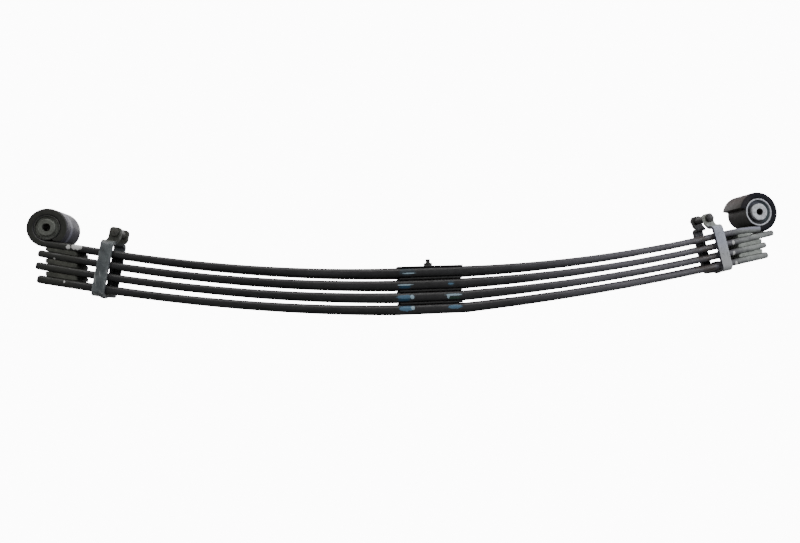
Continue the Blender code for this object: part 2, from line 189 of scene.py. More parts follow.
FRONT = Arm(
    "front", -1, camber=0.140, top_ease=0.34, pack_ease=0.0,
    end_thickness=(0.0160, 0.0165, 0.0175, 0.0190), taper_power=1.5,
    end_gap=0.0120, gap_power=1.0, tips=(0.919, 0.924, 0.921),
    bore=0.0296, curl_end=math.radians(315), inner_radius=0.0195, rubber_radius=0.0260,
    clip_reach=0.767,
)
REAR = Arm(
    "rear", 1, camber=0.135, top_ease=1.00, pack_ease=0.10,
    end_thickness=(0.0165, 0.0155, 0.0155, 0.0170), taper_power=1.9,
    end_gap=0.0113, gap_power=1.3, tips=(0.939, 0.915, 0.918),
    bore=0.0375, curl_end=math.radians(256), inner_radius=0.0225, rubber_radius=0.0328,
    clip_reach=0.775,
)
ARMS = (FRONT, REAR)


def smoothstep(low, high, value):
    t = min(1.0, max(0.0, (value - low) / (high - low)))
    return t * t * (3 - 2 * t)


# ---------------------------------------------------------------- materials


class Finish:
    """A node material built up from masks in the piece's own coordinates."""

    def __init__(self, name, metallic=0.0):
        self.material = bpy.data.materials.new(name)
        self.material.use_nodes = True
        self.nodes = self.material.node_tree.nodes
        self.links = self.material.node_tree.links
        self.shader = self.nodes["Principled BSDF"]
        self.shader.inputs["Metallic"].default_value = metallic
        self.place = self.nodes.new("ShaderNodeTexCoord").outputs["Object"]
        self.height = None
        self.seed = 0.0

    def put(self, socket, value):
        if isinstance(value, bpy.types.NodeSocket):
            self.links.new(value, socket)
        elif isinstance(value, tuple) and len(value) == 3 and socket.type == "RGBA":
            socket.default_value = (*value, 1.0)
        else:
            socket.default_value = value

    def math(self, operation, a, b=0.0, clamp=False):
        node = self.nodes.new("ShaderNodeMath")
        node.operation = operation
        node.use_clamp = clamp
        self.put(node.inputs[0], a)
        self.put(node.inputs[1], b)
        return node.outputs[0]

    def times(self, *factors):
        result = factors[0]
        for factor in factors[1:]:
            result = self.math("MULTIPLY", result, factor)
        return result

    def vector(self, operation, a, b, output="Vector"):
        node = self.nodes.new("ShaderNodeVectorMath")
        node.operation = operation
        self.put(node.inputs[0], a)
        self.put(node.inputs[1], b)
        return node.outputs[output]

    def noise(self, scale, detail=4.0, stretch=(1.0, 1.0, 1.0)):
        """Grey noise, with its scale in features a metre."""
        self.seed += 3.7
        moved = self.vector("MULTIPLY", self.place, stretch)
        moved = self.vector("ADD", moved, (self.seed, 0.6 * self.seed, -self.seed))
        node = self.nodes.new("ShaderNodeTexNoise")
        self.put(node.inputs["Vector"], moved)
        self.put(node.inputs["Scale"], float(scale))
        self.put(node.inputs["Detail"], detail)
        self.put(node.inputs["Roughness"], 0.55)
        return node.outputs["Fac"]

    def span(self, value, low, high, start=0.0, end=1.0):
        """Carries value from low..high to start..end, smoothly and clamped."""
        node = self.nodes.new("ShaderNodeMapRange")
        node.interpolation_type = "SMOOTHSTEP"
        self.put(node.inputs["Value"], value)
        self.put(node.inputs["From Min"], low)
        self.put(node.inputs["From Max"], high)
        self.put(node.inputs["To Min"], start)
        self.put(node.inputs["To Max"], end)
        return node.outputs["Result"]

    def mix(self, share, a, b):
        node = self.nodes.new("ShaderNodeMix")
        node.data_type = "RGBA"
        self.put(node.inputs["Factor"], share)
        self.put(node.inputs["A"], a)
        self.put(node.inputs["B"], b)
        return node.outputs["Result"]

    def axis(self, name):
        node = self.nodes.new("ShaderNodeSeparateXYZ")
        self.put(node.inputs[0], self.place)
        return node.outputs[name]

    def facing(self, name):
        """The surface's own direction along one axis, -1 to 1."""
        node = self.nodes.new("ShaderNodeNewGeometry")
        split = self.nodes.new("ShaderNodeSeparateXYZ")
        self.links.new(node.outputs["Normal"], split.inputs[0])
        return split.outputs[name]

    def attribute(self, name):
        node = self.nodes.new("ShaderNodeAttribute")
        node.attribute_name = name
        return node.outputs["Fac"]

    def spot(self, centre, radii, ragged=0.5, scale=160.0):
        """A soft-edged patch round a point, 1 inside and 0 outside, with a ragged outline."""
        away = self.vector("SUBTRACT", self.place, centre)
        away = self.vector("DIVIDE", away, radii)
        length = self.vector("LENGTH", away, (0.0, 0.0, 0.0), "Value")
        rough = self.math("MULTIPLY", self.noise(scale, 3.0), ragged)
        total = self.math("ADD", length, rough)
        return self.span(total, 0.85 + 0.5 * ragged, 1.15 + 0.5 * ragged, 1.0, 0.0)

    def either(self, *masks):
        result = masks[0]
        for mask in masks[1:]:
            result = self.math("MAXIMUM", result, mask)
        return result

    def bump(self, height, strength, distance):
        node = self.nodes.new("ShaderNodeBump")
        node.inputs["Strength"].default_value = strength
        node.inputs["Distance"].default_value = distance
        self.put(node.inputs["Height"], height)
        if self.height:
            self.put(node.inputs["Normal"], self.height)
        self.height = node.outputs["Normal"]

    def done(self, colour, roughness):
        self.put(self.shader.inputs["Base Color"], colour)
        self.put(self.shader.inputs["Roughness"], roughness)
        if self.height:
            self.put(self.shader.inputs["Normal"], self.height)
        return self.material


# The paint marker's strokes across the leaves' near sides: place along X and Z, and half sizes
DEEP_STROKES = (
    (-0.0655, 0.0690, 0.0140, 0.0036), (-0.0700, 0.0372, 0.0145, 0.0038),
    (-0.0641, 0.0190, 0.0190, 0.0040),
)
MID_STROKES = (
    (-0.0667, 0.0450, 0.0215, 0.0046), (-0.0641, 0.0154, 0.0180, 0.0058),
    (0.0493, 0.0733, 0.0071, 0.0022), (0.0578, 0.0158, 0.0180, 0.0046),
)
# The pale strokes are the marker's blue paint with painted highlights on it.
PALE_STROKES = (
    (-0.0539, 0.1030, 0.0160, 0.0015), (-0.0655, 0.0746, 0.0185, 0.0018),
    (-0.0490, 0.0440, 0.0046, 0.0052), (-0.0485, 0.0168, 0.0050, 0.0048),
    (0.0550, 0.0458, 0.0217, 0.0024), (0.0420, 0.0420, 0.0030, 0.0060),
)
HAZE_STROKES = ((-0.0596, 0.1064, 0.0190, 0.0100), (0.0500, 0.0740, 0.0090, 0.0080))
GREEN_STROKES = ((0.0576, 0.0380, 0.0170, 0.0036),)


def paint_leaf():
    """Satin chassis black, dusty, with painted highlights streaked along the bar; olive with dirt
    at the front end, and pale grey at the rear end, there dust and painted light together.
    """
    f = Finish("leaf_black")
    x = f.axis("X")
    z = f.axis("Z")
    reach = f.math("ABSOLUTE", x)
    cloud = f.noise(9.0, 5.0)
    streak = f.noise(60.0, 5.0, (0.10, 1.0, 1.0))
    fine = f.noise(420.0, 4.0)
    colour = f.mix(f.span(cloud, 0.35, 0.65), (0.0065, 0.0065, 0.0072), (0.0140, 0.0140, 0.0155))
    # Painted highlight: lighter streaks drawn out along the bar, where light catches the paint.
    streak_highlights = f.span(streak, 0.46, 0.72)
    colour = f.mix(f.times(streak_highlights, 0.45), colour, (0.030, 0.030, 0.033))
    upward = f.span(f.facing("Z"), 0.15, 0.95)
    dust = f.times(upward, f.span(fine, 0.30, 0.70, 0.35, 0.85))
    colour = f.mix(f.times(dust, 0.4), colour, (0.075, 0.073, 0.069))
    end_dirt_and_light = f.times(f.span(reach, 0.800, 0.860), f.span(f.noise(45.0, 5.0), 0.3, 0.7, 0.45, 1.0))
    front_end = f.times(end_dirt_and_light, f.span(x, -0.5, 0.0, 1.0, 0.0))
    colour = f.mix(f.times(front_end, 0.7), colour, (0.026, 0.027, 0.021))
    # Dust and painted light together: the rear leaf ends below the eye turn pale grey, standing in
    # for dust and for the light on that end.
    rear_end_dust_and_light = f.times(end_dirt_and_light, f.span(x, 0.0, 0.5))
    below_eye = f.span(z, 0.196, 0.203, 1.0, 0.0)
    colour = f.mix(f.times(rear_end_dust_and_light, below_eye, 0.88), colour, (0.31, 0.335, 0.315))
    near = f.span(f.axis("Y"), -0.0355, -0.0325, 1.0, 0.0)
    # Painted highlight: pale lavender on the upper part of leaf 1's near side beside the rear eye,
    # where light falls on its rounded edge.
    lit_band = f.times(f.span(x, 0.790, 0.815), f.span(z, 0.187, 0.191), near)
    colour = f.mix(f.times(lit_band, 0.92), colour, (0.215, 0.218, 0.275))
    # Painted light: the rear arm turns lighter and lavender, as under a bluish lamp.
    rear_arm_light = f.times(f.span(x, 0.10, 0.50), f.span(streak, 0.3, 0.7, 0.6, 1.0))
    elsewhere = f.math("SUBTRACT", 1.0, f.either(lit_band, rear_end_dust_and_light))
    colour = f.mix(f.times(rear_arm_light, elsewhere, 0.68), colour, (0.112, 0.109, 0.128))
    # Painted shade with a brown painted reflection: the leaves darken to brown just inboard of the
    # rear clip.
    brown_tint = f.times(f.span(x, 0.690, 0.725), f.span(x, 0.758, 0.775, 1.0, 0.0),
                   f.span(f.noise(60.0, 4.0), 0.35, 0.6))
    colour = f.mix(f.times(brown_tint, 0.88), colour, (0.030, 0.021, 0.016))
    worn = f.times(f.attribute("edge"), f.span(f.noise(90.0, 6.0, (0.35, 1.0, 1.0)), 0.52, 0.66))
    colour = f.mix(f.times(worn, 0.5), colour, (0.070, 0.070, 0.072))
    scratch = f.noise(30.0, 3.0, (0.25, 9.0, 22.0))
    scratches = f.times(f.span(scratch, 0.66, 0.71), f.span(cloud, 0.45, 0.6))
    colour = f.mix(f.times(scratches, 0.45), colour, (0.090, 0.090, 0.092))
    for marks, share, tone in (
        (HAZE_STROKES, 0.35, (0.030, 0.060, 0.085)), (DEEP_STROKES, 0.90, (0.003, 0.050, 0.100)),
        (MID_STROKES, 0.80, (0.075, 0.170, 0.260)), (GREEN_STROKES, 0.80, (0.008, 0.045, 0.028)),
        (PALE_STROKES, 0.80, (0.36, 0.50, 0.58)),
    ):
        mask = f.either(*(f.spot((sx, NEAR_SIDE, sz), (hx, 0.02, hz), 0.9, 200.0)
                          for sx, sz, hx, hz in marks))
        colour = f.mix(f.times(mask, near, share), colour, tone)
    patches = f.either(
        f.spot((-0.8342, NEAR_SIDE, 0.1918), (0.0125, 0.012, 0.0075), 1.1, 230.0),
        f.spot((-0.8530, NEAR_SIDE, 0.1915), (0.0045, 0.012, 0.0055), 0.8, 260.0),
    )
    flecks = f.either(
        f.spot((-0.8841, NEAR_SIDE, 0.1651), (0.0026, 0.01, 0.0026), 0.4, 300.0),
        f.spot((-0.8601, NEAR_SIDE, 0.1565), (0.0024, 0.01, 0.0022), 0.4, 300.0),
        f.spot((-0.8616, NEAR_SIDE, 0.1109), (0.0018, 0.01, 0.0030), 0.4, 300.0),
        f.spot((0.8195, NEAR_SIDE, 0.1555), (0.0036, 0.01, 0.0062), 0.5, 300.0),
        f.spot((0.8190, NEAR_SIDE, 0.1262), (0.0034, 0.01, 0.0066), 0.5, 300.0),
        f.spot((0.8239, NEAR_SIDE, 0.0990), (0.0036, 0.01, 0.0066), 0.5, 300.0),
    )
    colour = f.mix(f.times(patches, 0.95), colour, (0.60, 0.60, 0.585))
    colour = f.mix(f.times(flecks, 0.85), colour, (0.62, 0.62, 0.60))
    rough = f.span(f.noise(70.0, 5.0), 0.3, 0.7, 0.34, 0.52)
    rough = f.math("ADD", rough, f.times(f.either(dust, front_end, rear_end_dust_and_light), 0.25), clamp=True)
    f.bump(f.noise(900.0, 3.0), 0.10, 0.0006)
    f.bump(f.noise(110.0, 4.0, (0.4, 1.0, 1.0)), 0.22, 0.0016)
    f.bump(scratches, 0.25, -0.0004)
    return f.done(colour, rough)


def paint_eye(arm):
    """The curled eye: the same black, its near face darker than its barrel, with painted highlights
    on a band round the front barrel and on the upper inboard side of the rear eye.
    """
    f = Finish(f"{arm.name}_eye_black")
    cloud = f.noise(30.0, 5.0)
    fine = f.noise(500.0, 4.0)
    side = f.span(f.math("ABSOLUTE", f.facing("Y")), 0.5, 0.9)
    if arm is FRONT:
        barrel = f.mix(f.span(cloud, 0.3, 0.7), (0.032, 0.030, 0.042), (0.062, 0.059, 0.078))
        face = f.mix(f.span(cloud, 0.3, 0.7), (0.011, 0.012, 0.009), (0.022, 0.023, 0.018))
    else:
        barrel = f.mix(f.span(cloud, 0.3, 0.7), (0.012, 0.010, 0.009), (0.026, 0.021, 0.019))
        face = f.mix(f.span(cloud, 0.3, 0.7), (0.003, 0.0035, 0.006), (0.008, 0.009, 0.014))
        # Painted light: the rear barrel turns lighter and pinkish where it faces up and inboard.
        upper = f.times(f.span(f.facing("Z"), 0.25, 0.75), f.span(f.facing("X"), 0.1, -0.3))
        barrel = f.mix(f.times(upper, 0.7), barrel, (0.085, 0.066, 0.064))
        # Painted light: the upper inboard part of the rear eye's side faces turns lighter.
        upper_face = f.times(f.span(f.axis("X"), 0.868, 0.890, 1.0, 0.0),
                             f.span(f.axis("Z"), 0.24, 0.26))
        face = f.mix(f.times(upper_face, 0.5), face, (0.030, 0.024, 0.026))
    colour = f.mix(side, barrel, face)
    if arm is FRONT:
        y = f.axis("Y")
        # Painted highlight: a pale lavender band round the front barrel, a little in from its near
        # face.
        ring = f.times(f.span(y, -0.022, -0.016), f.span(y, -0.012, -0.006, 1.0, 0.0))
        barrel_highlight = f.times(ring, f.span(f.noise(60.0, 3.0), 0.3, 0.6), 0.8)
        colour = f.mix(barrel_highlight, colour, (0.20, 0.20, 0.26))
    dust = f.times(f.span(f.facing("Z"), 0.4, 1.0), f.span(fine, 0.35, 0.65))
    colour = f.mix(f.times(dust, 0.2), colour, (0.10, 0.097, 0.09))
    worn = f.times(f.attribute("edge"), f.span(f.noise(120.0, 6.0), 0.44, 0.62))
    colour = f.mix(f.times(worn, 0.35), colour, (0.10, 0.10, 0.105))
    scratch = f.noise(40.0, 3.0, (3.0, 8.0, 1.0))
    scratches = f.span(scratch, 0.64, 0.70)
    colour = f.mix(f.times(scratches, 0.2), colour, (0.10, 0.10, 0.10))
    rough = f.span(cloud, 0.3, 0.7, 0.36, 0.58)
    if arm is REAR:
        f.put(f.shader.inputs["Specular IOR Level"], f.span(side, 0.0, 1.0, 0.40, 0.06))
    f.bump(fine, 0.12, 0.0006)
    f.bump(f.noise(140.0, 4.0), 0.25, 0.0014)
    return f.done(colour, rough)


def paint_clip(arm):
    """Scuffed grey strap; the front one is scratched near its foot, the rear one is paler."""
    f = Finish(f"{arm.name}_clip_grey")
    z = f.axis("Z")
    cloud = f.noise(40.0, 5.0)
    fine = f.noise(600.0, 4.0)
    if arm is FRONT:
        colour = f.mix(f.span(cloud, 0.32, 0.68), (0.062, 0.072, 0.078), (0.120, 0.135, 0.140))
        ear = f.mix(f.span(fine, 0.35, 0.65), (0.045, 0.048, 0.038), (0.085, 0.088, 0.072))
        foot = f.span(z, 0.120, 0.145, 1.0, 0.0)
    else:
        colour = f.mix(f.span(cloud, 0.32, 0.68), (0.270, 0.290, 0.345), (0.350, 0.370, 0.430))
        lower = f.span(z, 0.115, 0.165, 1.0, 0.0)
        colour = f.mix(lower, colour, (0.335, 0.345, 0.350))
        ear = f.mix(f.span(fine, 0.35, 0.65), (0.27, 0.29, 0.25), (0.34, 0.36, 0.32))
        foot = f.span(z, 0.090, 0.105, 1.0, 0.0)
        # Painted shade: the rear strap darkens where it faces inboard.
        inboard = f.span(f.facing("X"), -0.75, -0.45, 1.0, 0.0)
        colour = f.mix(inboard, colour, (0.030, 0.030, 0.040))
    colour = f.mix(f.span(z, 0.198, 0.206), colour, ear)
    if arm is REAR:
        # Painted shade: the rear strap's far leg darkens, all but its outer face.
        far = f.times(f.span(f.axis("Y"), 0.0, 0.02), f.span(f.facing("Y"), 0.3, 0.8, 1.0, 0.0))
        colour = f.mix(f.times(far, 0.95), colour, (0.012, 0.011, 0.011))
    scratch = f.noise(34.0, 4.0, (7.0, 7.0, 1.0))
    scratches = f.times(f.span(scratch, 0.56, 0.63), foot)
    colour = f.mix(f.times(scratches, 0.8), colour, (0.36, 0.37, 0.37))
    worn = f.times(f.attribute("edge"), f.span(f.noise(150.0, 5.0), 0.40, 0.60))
    colour = f.mix(f.times(worn, 0.5), colour, (0.36, 0.37, 0.38))
    grime = f.span(f.noise(90.0, 5.0), 0.56, 0.68)
    colour = f.mix(f.times(grime, 0.4), colour, (0.05, 0.05, 0.045))
    rough = f.span(f.noise(80.0, 4.0), 0.3, 0.7, 0.40, 0.62)
    f.bump(fine, 0.15, 0.0005)
    f.bump(f.noise(160.0, 4.0), 0.25, 0.0012)
    f.bump(scratches, 0.3, -0.0004)
    return f.done(colour, rough)


def paint_bolt(name, dark, light, metallic=0.55):
    """Oiled dark steel with bright worn edges and a little brown corrosion."""
    f = Finish(name, metallic)
    cloud = f.noise(120.0, 5.0)
    fine = f.noise(900.0, 3.0)
    colour = f.mix(f.span(cloud, 0.32, 0.68), dark, light)
    brown_tint = f.span(f.noise(200.0, 5.0), 0.58, 0.70)
    colour = f.mix(f.times(brown_tint, 0.5), colour, (0.060, 0.034, 0.020))
    worn = f.times(f.attribute("edge"), f.span(f.noise(300.0, 4.0), 0.42, 0.60))
    colour = f.mix(f.times(worn, 0.35), colour, (0.14, 0.14, 0.135))
    rough = f.span(f.noise(240.0, 4.0), 0.3, 0.7, 0.36, 0.62)
    f.bump(fine, 0.15, 0.0004)
    return f.done(colour, rough)


def paint_pad(name, dark, light):
    """Matt pad, grimy in the gaps, with a coarse pressed grain."""
    f = Finish(name)
    cloud = f.noise(80.0, 5.0)
    grain = f.noise(700.0, 4.0)
    colour = f.mix(f.span(cloud, 0.3, 0.7), dark, light)
    colour = f.mix(f.times(f.span(grain, 0.55, 0.75), 0.4), colour, (0.03, 0.03, 0.026))
    rough = f.span(grain, 0.3, 0.7, 0.62, 0.85)
    f.bump(grain, 0.3, 0.0006)
    f.bump(cloud, 0.2, 0.0012)
    return f.done(colour, rough)


def turning_marks(f, centre, pitch):
    """Rings that a lathe leaves round an axis along Y."""
    flat = f.vector("MULTIPLY", f.vector("SUBTRACT", f.place, tuple(centre)), (1.0, 0.0, 1.0))
    radius = f.vector("LENGTH", flat, (0.0, 0.0, 0.0), "Value")
    return radius, f.math("SINE", f.math("MULTIPLY", radius, 2 * math.pi / pitch))


def paint_sleeve(name, arm, dark, light, metallic):
    """Dull phosphated steel with turning marks on its end faces."""
    f = Finish(name, metallic)
    cloud = f.noise(90.0, 5.0)
    fine = f.noise(800.0, 4.0)
    radius, marks = turning_marks(f, arm.eye_centre(), 0.0011)
    colour = f.mix(f.span(cloud, 0.3, 0.7), dark, light)
    grime = f.times(f.span(f.noise(160.0, 5.0), 0.50, 0.68), 0.5)
    colour = f.mix(grime, colour, (0.07, 0.07, 0.06))
    # Painted shade: the pin bore and a thin rim round it darken.
    bore = f.span(radius, PIN_BORE_RADIUS + 0.0002, PIN_BORE_RADIUS + 0.0016, 1.0, 0.0)
    colour = f.mix(f.times(bore, 0.9), colour, (0.012, 0.012, 0.012))
    # Painted shade: the outer sleeve's outside surface and edge darken where it sits in the eye.
    outside = f.times(f.span(radius, arm.bore - 0.0022, arm.bore - 0.0012),
                      f.span(f.math("ABSOLUTE", f.facing("Y")), 0.3, 0.7, 1.0, 0.0))
    colour = f.mix(f.times(outside, 0.95), colour, (0.020, 0.016, 0.014))
    rough = f.span(fine, 0.3, 0.7, 0.42, 0.62)
    f.bump(marks, 0.10, 0.0003)
    f.bump(fine, 0.12, 0.0004)
    return f.done(colour, rough)


def paint_rubber(name, arm, dark, light):
    """Moulded rubber with faint rings from its mould: the front one dusty, the rear one black with
    painted light towards its top and outboard side.
    """
    f = Finish(name)
    cloud = f.noise(70.0, 5.0)
    fine = f.noise(900.0, 4.0)
    radius, marks = turning_marks(f, arm.eye_centre(), 0.0034)
    colour = f.mix(f.span(cloud, 0.3, 0.7), dark, light)
    if arm is REAR:
        # Painted light: the rear rubber turns lighter and bluer towards its top and towards its
        # outboard side.
        upper = f.span(f.axis("Z"), arm.eye_centre().z, arm.eye_centre().z + 0.03)
        colour = f.mix(f.times(upper, 0.65), colour, (0.085, 0.095, 0.125))
        right = f.span(f.axis("X"), EYE_REACH + 0.005, EYE_REACH + 0.030)
        colour = f.mix(f.times(right, 0.6), colour, (0.11, 0.15, 0.165))
    rough = f.span(fine, 0.3, 0.7, 0.68, 0.88)
    f.bump(marks, 0.10, 0.0006)
    f.bump(fine, 0.2, 0.0004)
    return f.done(colour, rough)


# ------------------------------------------------------------------- shapes


def finish_mesh(name, bm, material):
    mesh = bpy.data.meshes.new(name)
    bm.to_mesh(mesh)
    bm.free()
    mesh.materials.append(material)
    mesh.shade_smooth()
    mesh.set_sharp_from_angle(angle=math.radians(32.0))
    thing = bpy.data.objects.new(name, mesh)
    bpy.context.scene.collection.objects.link(thing)
    return thing


def apply_modifiers(thing):
    """Leaves the piece as one plain mesh, as its modifiers show it."""
    bpy.context.view_layer.update()
    graph = bpy.context.evaluated_depsgraph_get()
    mesh = bpy.data.meshes.new_from_object(thing.evaluated_get(graph))
    old = thing.data
    thing.modifiers.clear()
    thing.data = mesh
    mesh.name = thing.name
    bpy.data.meshes.remove(old)


def arc_outline(half, thickness, radius, steps=5):
    """A bar's rounded section as (across, depth, how near a corner) points."""
    points = []
    corners = (
        (half - radius, radius, -90.0), (half - radius, thickness - radius, 0.0),
        (radius - half, thickness - radius, 90.0), (radius - half, radius, 180.0),
    )
    for across, depth, start in corners:
        for n in range(steps + 1):
            turn = math.radians(start + 90.0 * n / steps)
            near = 1.0 - abs(2.0 * n / steps - 1.0)
            points.append((across + radius * math.cos(turn), depth + radius * math.sin(turn), near))
        last = points[-1]
        if start in (0.0, 180.0):
            for n in range(1, 6):
                share = n / 6
                points.append((last[0] * (1 - 2 * share), last[1], 0.0))
        else:
            points.append((last[0], thickness / 2, 0.0))
    return points


def section_ring(place, inward, width, thickness, corner):
    """World points and edge shares of one rounded section."""
    outline = arc_outline(width / 2, thickness, corner)
    return [(place + Vector((0.0, across, 0.0)) - inward * depth, near)
            for across, depth, near in outline]


def loft(rings):
    """Closed skin over a row of rings, with the edge shares kept as an attribute."""
    bm = bmesh.new()
    layer = bm.verts.layers.float.new("edge")
    made = []
    for ring in rings:
        row = []
        for point, near in ring:
            vert = bm.verts.new(point)
            vert[layer] = near
            row.append(vert)
        made.append(row)
    count = len(made[0])
    for near, far in zip(made, made[1:]):
        for n in range(count):
            m = (n + 1) % count
            bm.faces.new((near[n], near[m], far[m], far[n]))
    for row in (made[0], made[-1]):
        bm.faces.new(row)
    bmesh.ops.recalc_face_normals(bm, faces=bm.faces)
    return bm


def stations(last):
    middle = [SEAT_HALF * n / 4 for n in range(4)]
    arm = [SEAT_HALF + (EASE_START - SEAT_HALF) * n / 60 for n in range(60)]
    end = [EASE_START + (last - EASE_START) * n / 16 for n in range(17)]
    return middle + arm + end


def leaf_ring(arm, leaf, reach, width, waste=0.0):
    lean = arm.slope(leaf, reach)
    normal = Vector((-arm.side * lean, 0.0, 1.0)).normalized()
    place = arm.point(reach, arm.top(leaf, reach)) - normal * waste
    thickness = arm.thickness(leaf, reach) - 2 * waste
    return section_ring(place, normal, width, thickness, SIDE_ROUNDING * thickness)


def blend_half(arm, thing, leaf):
    """Bakes the half's placement into its mesh and hides the frame's own leaf."""
    height = PACK_HEIGHT / 2
    start = arm.point(FLEX_REACH - FLEX_SPREAD, height)
    end = arm.point(FLEX_REACH + FLEX_SPREAD, height)
    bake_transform(thing)
    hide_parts(f"leaf_{leaf + 1}")


def cut_centre(thing, radius, low, high):
    """Cuts the centre bolt's hole, and the pocket of its head, into a half."""
    bm = bmesh.new()
    bmesh.ops.create_cone(bm, cap_ends=True, segments=64, radius1=radius, radius2=radius,
                          depth=high - low)
    bmesh.ops.translate(bm, verts=bm.verts, vec=(0, 0, (low + high) / 2))
    tool = finish_mesh(f"tool_{thing.name}", bm, thing.data.materials[0])
    cut = thing.modifiers.new("cut", "BOOLEAN")
    cut.operation = "DIFFERENCE"
    cut.solver = "EXACT"
    cut.object = tool
    apply_modifiers(thing)
    bpy.data.objects.remove(tool, do_unlink=True)


def scarfed_end(arm, centre, wall, corner):
    """The last of the curl, thinned so that it closes down onto the leaf."""
    rings = []
    step = math.radians(3)
    shaving = 0.0002
    thinnest = 0.003
    for n in range(1, 8):
        turn = -math.pi / 2 + arm.curl_end + step * n
        outward = Vector((arm.side * math.cos(turn), 0.0, math.sin(turn)))
        room = wall
        while room >= thinnest:
            outer = centre + outward * (arm.bore + room)
            if outer.z > arm.top(0, abs(outer.x)) + 2 * CLEARANCE:
                break
            room -= shaving
        if room < thinnest:
            break
        rings.append(section_ring(centre + outward * arm.bore, -outward, LEAF_WIDTH, room,
                                  corner * room / wall))
    return rings


def make_top_half(arm, paint, eye_paint):
    contact = arm.eye_contact()
    rings = [leaf_ring(arm, 0, reach, LEAF_WIDTH) for reach in stations(contact)]
    centre = arm.eye_centre()
    lean = math.atan(arm.slope(0, contact))
    wall = arm.end_thickness[0]
    sweep = arm.curl_end - lean
    count = round(sweep / math.radians(4))
    first_curl_ring = len(rings)
    for n in range(1, count + 1):
        turn = -math.pi / 2 + lean + sweep * n / count
        outward = Vector((arm.side * math.cos(turn), 0.0, math.sin(turn)))
        share = min(1.0, n / 6)
        corner = (SIDE_ROUNDING - 0.20 * share) * wall
        rings.append(section_ring(centre + outward * arm.bore, -outward, LEAF_WIDTH, wall, corner))
    if arm is FRONT:
        rings += scarfed_end(arm, centre, wall, corner)
    bm = loft(rings)
    bm.faces.ensure_lookup_table()
    per_ring = len(rings[0])
    for index, face in enumerate(bm.faces):
        if index >= (first_curl_ring - 1) * per_ring:
            face.material_index = 1
    thing = finish_mesh(f"leaf_1_{arm.name}", bm, paint)
    thing.data.materials.append(eye_paint)
    cut_centre(thing, BOLT_HOLE_RADIUS, CUT_LOW, CUT_HIGH)
    blend_half(arm, thing, 0)


def make_lower_half(arm, leaf, paint):
    tip = arm.tips[leaf - 1]
    round_off = 0.007
    side_start = 0.0005
    side_loss = 0.0045
    face_loss = 0.0026
    rings = [leaf_ring(arm, leaf, reach, LEAF_WIDTH) for reach in stations(tip - round_off)]
    for n in range(1, 7):
        turn = math.radians(90.0 * n / 6)
        back = round_off * (1 - math.sin(turn))
        loss = side_loss * (1 - math.cos(turn)) + side_start
        waste = face_loss * (1 - math.cos(turn))
        rings.append(leaf_ring(arm, leaf, tip - back, LEAF_WIDTH - 2 * loss, waste))
    thing = finish_mesh(f"leaf_{leaf + 1}_{arm.name}", loft(rings), paint)
    cut_centre(thing, BOLT_HOLE_RADIUS, CUT_LOW, CUT_HIGH)
    if leaf == LEAF_COUNT - 1:
        cut_centre(thing, DOWEL_RADIUS + 2 * CLEARANCE, CUT_LOW, DOWEL_HEIGHT + CLEARANCE)
    blend_half(arm, thing, leaf)


def turned(name, profile, centre, axis, material, edges=()):
    """A ring turned about an axis. The profile is a closed loop of (radius, offset) points."""
    bm = bmesh.new()
    layer = bm.verts.layers.float.new("edge")
    segments = 96
    frame_matrix = Vector(axis).normalized().to_track_quat("Z", "Y").to_matrix()
    rows = []
    for n in range(segments):
        turn = 2 * math.pi * n / segments
        row = []
        for index, (radius, offset) in enumerate(profile):
            local = Vector((radius * math.cos(turn), radius * math.sin(turn), offset))
            vert = bm.verts.new(Vector(centre) + frame_matrix @ local)
            vert[layer] = 1.0 if index in edges else 0.0
            row.append(vert)
        rows.append(row)
    count = len(profile)
    for n in range(segments):
        here, there = rows[n], rows[(n + 1) % segments]
        for k in range(count):
            m = (k + 1) % count
            bm.faces.new((here[k], there[k], there[m], here[m]))
    bmesh.ops.recalc_face_normals(bm, faces=bm.faces)
    return finish_mesh(name, bm, material)


def solid_turned(rows, centre, axis, segments=72):
    """A solid of rings. Each row is (offset, radius or a function of the turn, edge)."""
    bm = bmesh.new()
    layer = bm.verts.layers.float.new("edge")
    frame_matrix = Vector(axis).normalized().to_track_quat("Z", "Y").to_matrix()
    made = []
    for offset, radius, near in rows:
        ring = []
        for n in range(segments):
            turn = 2 * math.pi * n / segments
            size = radius(turn) if callable(radius) else radius
            local = Vector((size * math.cos(turn), size * math.sin(turn), offset))
            vert = bm.verts.new(Vector(centre) + frame_matrix @ local)
            vert[layer] = near
            ring.append(vert)
        made.append(ring)
    faces = []
    for near_ring, far_ring in zip(made, made[1:]):
        for n in range(segments):
            m = (n + 1) % segments
            faces.append(bm.faces.new((near_ring[n], near_ring[m], far_ring[m], far_ring[n])))
    faces.append(bm.faces.new(list(reversed(made[0]))))
    faces.append(bm.faces.new(made[-1]))
    bmesh.ops.recalc_face_normals(bm, faces=faces)
    return bm


def hexagon(limit):
    """Radius of a hexagon's outline at one turn, cut back by a chamfer cone's radius."""
    def radius(turn):
        within = (turn % math.radians(60)) - math.radians(30)
        return min(HEX_APOTHEM / math.cos(within), limit)
    return radius


def hex_rows(low, high, chamfer_low, chamfer_high):
    """Rings of a hexagonal head or nut with its corners turned off."""
    slope = math.tan(math.radians(28))
    full = HEX_APOTHEM / math.cos(math.radians(30))
    inner = HEX_APOTHEM * 0.97
    rows = []
    levels = 5
    depth = (full - inner) * slope
    steps = [depth * n / levels for n in range(levels + 1)]
    if chamfer_low:
        rows += [(low + d, hexagon(inner + d / slope), 0.5) for d in steps]
    else:
        rows.append((low, hexagon(full), 0.6))
    if chamfer_high:
        rows += [(high - d, hexagon(inner + d / slope), 0.5) for d in reversed(steps)]
    else:
        rows.append((high, hexagon(full), 0.6))
    return rows


